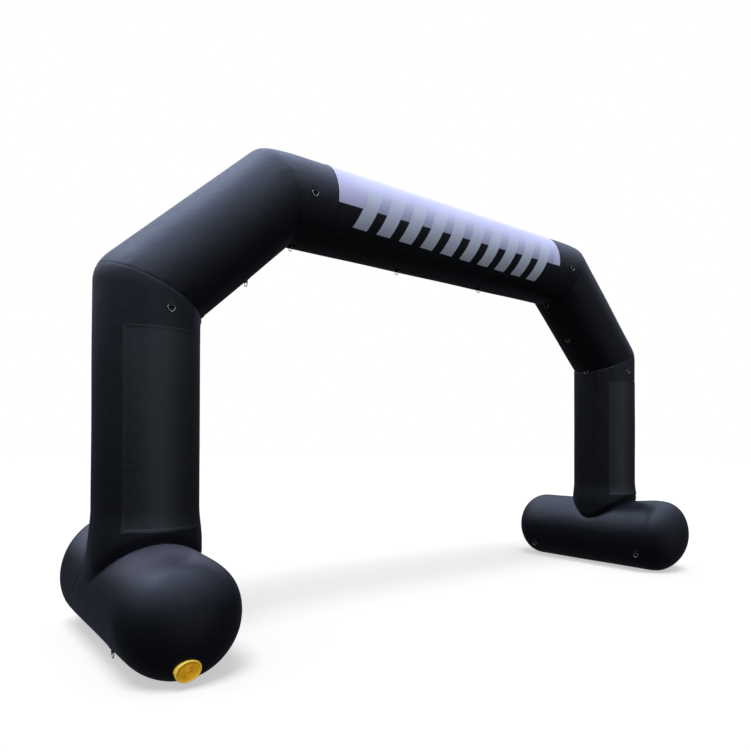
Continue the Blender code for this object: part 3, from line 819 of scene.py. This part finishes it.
leg_banner_size = ((LEG_BANNER_OUT - LEG_BANNER_IN) * TUBE_RADIUS, LEG_BANNER_TOP - LEG_BANNER_LOW)


def leg_banner_skin(across, along, off):
    return leg_skin(LEG_BANNER_IN + across / TUBE_RADIUS, LEG_BANNER_LOW + along, 0.0, 3.0, off)


for half, placed in HALVES:
    add_sheet("leg_banner_" + half, "banner_" + half, leg_banner_skin, leg_banner_size,
              (40, 80), (0.0045, 0.05, 26), LEG_CLOTH, placed)
print("leg banner:", np.round(leg_banner_size, 3), "m")

# %% [markdown]
# ### The beam banner's print
# The beam's banner is black, with a pale field along its top and slanted bars that hang from the field
# where an event would put its words. The print follows the cloth's flat map, so every edge is a
# straight line on the cut sheet.

# %% The printed cloth
PRINT_PALE = (0.80, 0.73, 0.84)
PRINT_WHITE = (0.81, 0.81, 0.83)
PRINT_SHADE = (0.36, 0.38, 0.48)
PRINT_DARK = (0.0042, 0.0048, 0.0050)
SHADE_SHARE = 0.55
BANNER_HALF = 1.37
BANNER_LOW = math.radians(-48.75)
BANNER_HIGH = math.radians(78.75)
FIELD_LINE = (math.radians(-7.5) - BANNER_LOW) * TUBE_RADIUS
FIELD_FADE = 0.16  # bars and shade fade out over this, round their tops
BAR_TOP, SHADE_TOP = FIELD_LINE + 0.19, FIELD_LINE + 0.09
BAR_PITCH = 0.240
BAR_WIDTH = 0.145
BAR_START, BAR_SOFT = 0.02, 0.012  # as shares of the pitch
BAR_SLANT = 0.42
BAR_FOOT = (math.radians(-33.0) - BANNER_LOW) * TUBE_RADIUS
BAR_FALL = -0.024  # the feet of the bars step down a little towards the right
BARS_FROM = 0.16
BARS_TO = 2.56

sheet = new_finish("beam_banner_print")
flat = sheet.flat()
along_u, up_v, _ = sheet.split(flat)


def past(value, edge, width=0.003):
    """1 where the value is past the edge, 0 before it, over a narrow width."""
    return sheet.ramp(value, edge - width / 2, edge + width / 2)


def short_of(value, edge, width=0.003):
    return sheet.math("SUBTRACT", 1.0, past(value, edge, width))


def both(first, second):
    return sheet.math("MULTIPLY", first, second)


slant = both(sheet.math("SUBTRACT", up_v, BAR_FOOT), BAR_SLANT)
slanted = sheet.math("SUBTRACT", along_u, slant)
counted = sheet.math("DIVIDE", sheet.math("SUBTRACT", slanted, BARS_FROM), BAR_PITCH)
within = sheet.math("FRACT", counted)
bar = both(past(within, BAR_START, BAR_SOFT), short_of(within, BAR_WIDTH / BAR_PITCH, BAR_SOFT))
row = both(past(slanted, BARS_FROM), short_of(slanted, BARS_TO))
foot_line = sheet.math("SUBTRACT", up_v, both(along_u, BAR_FALL))
tall = both(past(foot_line, BAR_FOOT), short_of(up_v, BAR_TOP, FIELD_FADE))
near_line = both(past(up_v, FIELD_LINE), short_of(up_v, SHADE_TOP, FIELD_FADE))
shade = both(both(near_line, row), sheet.math("SUBTRACT", 1.0, bar))
tone = sheet.mix(past(up_v, FIELD_LINE), PRINT_DARK, PRINT_PALE)
tone = sheet.mix(both(shade, SHADE_SHARE), tone, PRINT_SHADE)
tone = sheet.mix(both(bar, both(row, tall)), tone, PRINT_WHITE)
grain = sheet.noise(flat, 5.0, 3.0)
folds = sheet.bump(grain, 0.002, 0.5)
BEAM_PRINT = sheet.finish({
    "Base Color": sheet.mix(1.0, tone, sheet.ramp(grain, *NOISE, 0.93, 1.0), "MULTIPLY"),
    "Normal": sheet.bump(sheet.weave(flat, THREAD), THREAD * THREAD_DEPTH, THREAD_STRENGTH, Normal=folds),
    "Roughness": 0.58,
    "Specular IOR Level": 0.3,
})
print("bars in the row:", int((BARS_TO - BARS_FROM) / BAR_PITCH))

# %% Beam banner
beam_banner_size = (2 * BANNER_HALF, (BANNER_HIGH - BANNER_LOW) * TUBE_RADIUS)


def beam_banner_skin(across, along, off):
    turn, place = BANNER_LOW + along / TUBE_RADIUS, across - BANNER_HALF
    around = round_section(turn, UP, TUBE_RADIUS + breathing(turn, place + BEAM_SPAN / 2, 2.0) + off)
    return np.array((0, ARCH_PLACE, BEAM_HEIGHT)) + around + place[..., None] * RIGHT


add_sheet("beam_banner", "banner_beam", beam_banner_skin, beam_banner_size, (200, 60),
          (0.0030, 0.04, 17), BEAM_PRINT)
print("beam banner:", np.round(beam_banner_size, 3), "m")

# %% [markdown]
# ## Tie points
# Guy ropes hook into small D-rings. Each ring hangs in the loop of a webbing tab, sewn flat on the
# tube with a crossed box of stitches. The tab is a ribbon bent round the tube and rolled back on
# itself, and the stitches are short raised threads.

# %% Sizes of a tie point
WEBBING_WIDTH = 0.040
WEBBING = 0.0025
PATCH = 0.042
LOOP_RADIUS = 0.0062
LOOP_BORE = 0.0037
WIRE_RADIUS = 0.003
RING_HALF = 0.0260
RING_BAR = 0.0235
RING_DROP = 0.036
FLAT_STRIP = math.cos(math.radians(3.75))  # how far a plain tube's flats are from its axis, in radii
TIE_POINTS = (  # name, tube, degrees round it, place along it, and the way that the loop points
    ("leg_front", "leg", -7.5, 2.290, "along"),
    ("leg_back", "leg", 180.0, 2.297, "along"),
    ("corner_low", "shoulder", 270.0, 0.190, "along"),
    ("shoulder", "shoulder", 270.0, 0.680, "along"),
    ("corner_high", "beam", 270.0, 0.178, "along"),
    ("beam_under", "beam", 270.0, 1.257, "along"),
    ("beam_front", "beam", 0.0, 0.175, "down"),
    ("beam_back", "beam", 180.0, 0.175, "down"),
    ("foot_near", "foot", -22.5, -0.690, "down"),
    ("foot_far", "foot", -30.0, 0.705, "down"),
    ("foot_out", "foot", 217.5, -0.410, "down"),
)


def tie_frame(tube, angle, place, run):
    """Middle of a tab, the way off the cloth, the way its loop points, and its tube's radius."""
    turn = math.radians(angle)
    if tube == "foot":
        start, axis, first, second, radius = FOOT_MIDDLE, BACK, RIGHT, UP, FOOT_RADIUS
    else:
        index = ("leg", "shoulder", "beam").index(tube)
        start, axis, first, second, radius = CORNERS[index], AXES[index], -BACK, OUTWARDS[index], TUBE_RADIUS
    off = math.cos(turn) * first + math.sin(turn) * second
    around = math.cos(turn) * second - math.sin(turn) * first
    if run == "down":
        loop_way = around if around[2] < 0 else -around
    else:
        loop_way = -axis
    return start + axis * place + off * (radius * FLAT_STRIP + GAP), off, loop_way, radius


print("tie points on each half:", len(TIE_POINTS))

# %% Shape of a tab
EDGE_ROUND, BORE_ROUND = 0.0004, 0.0003  # how much is taken off the edges of the ribbon and its bore
EDGE_FROM = 0.985  # where that starts, as a share of half the width
STITCH_LENGTH = 0.0045
STITCH_THICK = 0.0005
STITCH_MARGINS = (0.006, 0.005)
STITCH_CLEAR = 0.008  # more room on the loop's side


def tab_lines():
    """The tab from its side, x along its run and y off the cloth: its outline, and the bore of its loop."""
    def bend(radius, turns):
        return np.stack((PATCH / 2 + radius * np.cos(turns), LOOP_RADIUS + radius * np.sin(turns)), axis=-1)

    def straight(first, last, count, height):
        return np.stack((np.linspace(first, last, count), np.full(count, height)), axis=-1)

    touch = math.sqrt(LOOP_RADIUS ** 2 - (LOOP_RADIUS - WEBBING) ** 2)
    last = math.atan2(WEBBING - LOOP_RADIUS, -touch) % math.tau
    loop = bend(LOOP_RADIUS, np.linspace(-math.pi / 2, last, 26))
    low = straight(-PATCH / 2 + EDGE_ROUND, PATCH / 2 - 0.001, 14, 0.0)
    top = straight(loop[-1, 0] - 0.0006, -PATCH / 2 + EDGE_ROUND, 12, WEBBING)
    end = ((-PATCH / 2, WEBBING - 0.0005), (-PATCH / 2, 0.0005))
    return np.vstack((low, loop, top, end)), bend(LOOP_BORE, math.tau * np.arange(20) / 20)


def stitch_corners(place, off):
    """Corners of the raised stitches on the flat patch, six to a stitch: a box and a cross."""
    half_x, half_w = PATCH / 2 - STITCH_MARGINS[0], WEBBING_WIDTH / 2 - STITCH_MARGINS[1]
    end_x = half_x - STITCH_CLEAR
    corners = [(-half_x, -half_w), (end_x, -half_w), (end_x, half_w), (-half_x, half_w)]
    lines = [*zip(corners, corners[1:] + corners[:1]), (corners[0], corners[2]), (corners[1], corners[3])]
    for (x0, w0), (x1, w1) in lines:
        count = max(2, int(math.hypot(x1 - x0, w1 - w0) / STITCH_LENGTH))
        for index in range(count):
            shares = ((index + 0.15) / count, (index + 0.85) / count)
            first, last = [place(x0 + (x1 - x0) * share, WEBBING, w0 + (w1 - w0) * share) for share in shares]
            way = (last - first) / np.linalg.norm(last - first)
            beside = np.cross(way, off) * STITCH_THICK
            rise = off * STITCH_THICK * 1.2
            yield (first - beside, first + beside, last + beside, last - beside,
                   (first * 0.8 + last * 0.2) + rise, (first * 0.2 + last * 0.8) + rise)


def add_tab(tie, half, placed):
    """A tab: its outline and bore carried across its width, and bent with the tube."""
    middle, off, loop_way, radius = tie_frame(*tie[1:])
    side = np.cross(loop_way, off)
    shape = bmesh.new()

    def place(x, y, w):
        around = w if tie[4] == "along" else x
        lift = radius * (1 - FLAT_STRIP) + GAP - around ** 2 / (2 * radius)
        return middle + loop_way * x + off * (y + lift) + side * w

    outer, bore = tab_lines()
    widths = np.concatenate(([-1.0], np.linspace(-EDGE_FROM, EDGE_FROM, 11), [1.0])) * WEBBING_WIDTH / 2
    grids = []
    for line, shrink in ((outer, EDGE_ROUND), (bore, -BORE_ROUND)):
        inwards = line.mean(axis=0) - line
        inwards = inwards / np.linalg.norm(inwards, axis=1)[:, None]
        grids.append([])
        for width in widths:
            outline = line + inwards * (shrink if abs(width) == WEBBING_WIDTH / 2 else 0.0)
            grids[-1].append([shape.verts.new(placed(place(x, y, width))) for x, y in outline])
    for grid in grids:
        for first, second in zip(grid, grid[1:]):
            for a, b, c, d in zip(first, first[1:] + first[:1], second[1:] + second[:1], second):
                shape.faces.new((a, b, c, d))
    for end in (0, -1):
        rings = [grid[end] for grid in grids]
        edges = [shape.edges.get(pair) for ring in rings for pair in zip(ring, ring[1:] + ring[:1])]
        bmesh.ops.triangle_fill(shape, use_beauty=True, edges=edges)
    for points in stitch_corners(place, off):
        a, b, c, d, e, f = [shape.verts.new(placed(point)) for point in points]
        for corner in ((a, b, c, d), (a, d, f, e), (b, e, f, c), (a, e, b), (d, c, f)):
            shape.faces.new(corner)
    bmesh.ops.recalc_face_normals(shape, faces=shape.faces)
    layer = shape.loops.layers.uv.new("cloth")
    for face in shape.faces:
        for loop in face.loops:
            gap = np.array(loop.vert.co) - placed(middle)
            loop[layer].uv = (gap @ loop_way, gap @ side)
    mesh = bpy.data.meshes.new(f"webbing_{tie[0]}_{half}")
    shape.to_mesh(mesh)
    shape.free()
    dressed(mesh.name, mesh, WEBBING_CLOTH, f"tab_{tie[0]}_{half}")


print("tab outline points:", len(tab_lines()[0]))

# %% [markdown]
# ### Rings
# A D-ring is bent from round wire: a straight bar in the loop, two tight corners and a bow. A curve
# with a round bevel is how Blender bends wire: the line is drawn once and its thickness is a number.

# %% Ring metal
sheet = new_finish("ring_metal")
smears = sheet.noise(sheet.room(), 160.0, 4.0)
RING_METAL = sheet.finish({
    "Base Color": sheet.mix(smears, (0.42, 0.38, 0.31), (0.58, 0.53, 0.44)),
    "Roughness": sheet.ramp(smears, *NOISE, 0.34, 0.50),
    "Metallic": 1.0,
})
print("finish:", RING_METAL.name)

# %% Bend the rings
BOW_FROM, BOW_OVER, BOW_STEPS = 12, 156, 18  # degrees, degrees and a count


def frozen(thing, name):
    """A mesh of a curve or a modified mesh as it stands, in place of the thing itself."""
    bpy.context.view_layer.update()
    mesh = bpy.data.meshes.new_from_object(thing.evaluated_get(bpy.context.evaluated_depsgraph_get()))
    bpy.data.objects.remove(thing, do_unlink=True)
    mesh.name = name
    return mesh


def ring_points():
    points = [(-RING_BAR + 0.002, 0.0), (RING_BAR - 0.002, 0.0)]
    for index in range(BOW_STEPS + 1):
        turn = math.radians(BOW_FROM + BOW_OVER * index / BOW_STEPS)
        points.append((RING_HALF * math.cos(turn), -RING_DROP * math.sin(turn)))
    return points


def add_ring(tie, half, placed):
    middle, off, loop_way, _ = tie_frame(*tie[1:])
    bar = np.cross(loop_way, off)
    centre = middle + loop_way * PATCH / 2 + off * LOOP_RADIUS
    curve = bpy.data.curves.new("wire", "CURVE")
    wire = put("wire", curve, dimensions="3D", bevel_depth=WIRE_RADIUS, bevel_resolution=4,
               use_fill_caps=True)
    spline = curve.splines.new("POLY")
    points = ring_points()
    spline.points.add(len(points) - 1)
    for target, (x, y) in zip(spline.points, points):
        target.co = (*placed(centre + bar * x + UP * y), 1.0)
    spline.use_cyclic_u = True
    mesh = frozen(wire, f"d_ring_{tie[0]}_{half}")
    mesh.materials.clear()
    dressed(mesh.name, mesh, RING_METAL, f"ring_{tie[0]}_{half}", sharp=None)


for tie in TIE_POINTS:
    for half, placed in HALVES:
        add_tab(tie, half, placed)
        add_ring(tie, half, placed)
print("rings and tabs:", 4 * len(TIE_POINTS))

# %% [markdown]
# ## Air inlet
# Low on the near end of the left foot is a round fitting: a golden rim round a dished face with a
# small hub. Both are turned parts, so a profile is drawn once and a Screw modifier spins it. Fine ribs
# give a hand some grip. It faces down and away from the sky, so a small lamp lights it alone.

# %% Finishes of the inlet
def moulded(name, colour, shade, scale):
    """Moulded plastic with slight stains and a fine grain."""
    sheet = new_finish(name)
    room = sheet.room()
    stains = sheet.ramp(sheet.noise(room, scale, 3.0), 0.42, 0.66)
    return sheet.finish({
        "Base Color": sheet.mix(stains, colour, shade),
        "Normal": sheet.bump(sheet.noise(room, 900.0, 2.0), 0.0002, 0.4),
        "Roughness": 0.40,
    })


RIM_PLASTIC = moulded("inlet_rim_plastic", (0.97, 0.62, 0.05), (1.0, 0.74, 0.14), 30.0)
FACE_PLASTIC = moulded("inlet_face_plastic", (0.96, 0.52, 0.012), (0.78, 0.38, 0.01), 26.0)
print("finishes:", RIM_PLASTIC.name, FACE_PLASTIC.name)

# %% Profiles of the inlet
PORT_DROOP = math.radians(23.0)
PORT_RADIUS = 0.0765
PORT_FACE_RADIUS = 0.0660
PORT_PROUD = 0.0165
PORT_ROOT = 0.040
RIM_ROUND, RIM_INNER_ROUND = 0.005, 0.003
RIB_FROM, RIB_TO, RIB_PITCH = 0.018, 0.052, 0.0064
RIB_BASE, RIB_HEIGHT = 0.0105, 0.0007


def arc(centre, radius, first, last, steps):
    """Points on a quarter or so of a circle in a profile, in degrees."""
    turns = np.radians(np.linspace(first, last, steps))
    return [(centre[0] + radius * math.cos(turn), centre[1] + radius * math.sin(turn)) for turn in turns]


def rim_profile():
    inner = PORT_FACE_RADIUS + GAP
    outer_edge = arc((PORT_RADIUS - RIM_ROUND, PORT_PROUD - RIM_ROUND), RIM_ROUND, 90, 0, 8)
    inner_edge = arc((inner + RIM_INNER_ROUND, PORT_PROUD - RIM_INNER_ROUND), RIM_INNER_ROUND, 180, 90, 6)
    return inner_edge + outer_edge + [(PORT_RADIUS, -PORT_ROOT), (inner, -PORT_ROOT)]


def face_profile():
    hub = [(0.0, 0.0152), *arc((0.008, 0.0130), 0.0022, 90, 0, 5)]
    hub += arc((0.0130, 0.0133), 0.0028, 180, 270, 5)
    ribs = [(place, RIB_BASE + RIB_HEIGHT * math.sin(place * math.tau / RIB_PITCH) ** 2)
            for place in np.linspace(RIB_FROM, RIB_TO, 56)]
    dish = [(0.056, 0.0109), (0.060, 0.0122), (0.064, 0.0140), (PORT_FACE_RADIUS, 0.0143)]
    return hub + ribs + dish + [(PORT_FACE_RADIUS, -PORT_ROOT), (0.0, -PORT_ROOT)]


# %% Turn the inlet
port_off = Vector((0, -math.cos(PORT_DROOP), -math.sin(PORT_DROOP)))
port_level = Vector((1, 0, 0))
port_matrix = Matrix.Identity(4)
for column, way in enumerate((port_level, port_off.cross(port_level), port_off, PORT_CENTRE)):
    port_matrix.col[column][:3] = way


def turned(name, profile, closing, finish, node):
    """A turned part: its profile, spun about its own axis and laid in place."""
    line = bpy.data.meshes.new("profile")
    edges = [(index, index + 1) for index in range(len(profile) - 1)] + closing
    line.from_pydata([(radius, 0, height) for radius, height in profile], edges, [])
    lathe = put("lathe", line)
    tune(lathe.modifiers.new("spin", "SCREW"), dict(
        axis="Z", steps=96, render_steps=96, use_merge_vertices=True, merge_threshold=0.00005,
        use_smooth_shade=True, use_normal_calculate=True))
    mesh = frozen(lathe, name)
    face_outwards(mesh)
    mesh.transform(port_matrix)
    return dressed(name, mesh, finish, node, sharp=math.radians(35))


rim = rim_profile()
inlet = [turned("inlet_rim", rim, [(len(rim) - 1, 0)], RIM_PLASTIC, "port_rim"),
         turned("inlet_face", face_profile(), [], FACE_PLASTIC, "port_face")]
add_sun("inlet_lamp", (-4.2, -4.6, 2.2), 1.5, (1.0, 0.93, 0.84), 30, inlet)
print("inlet at", PORT_CENTRE)
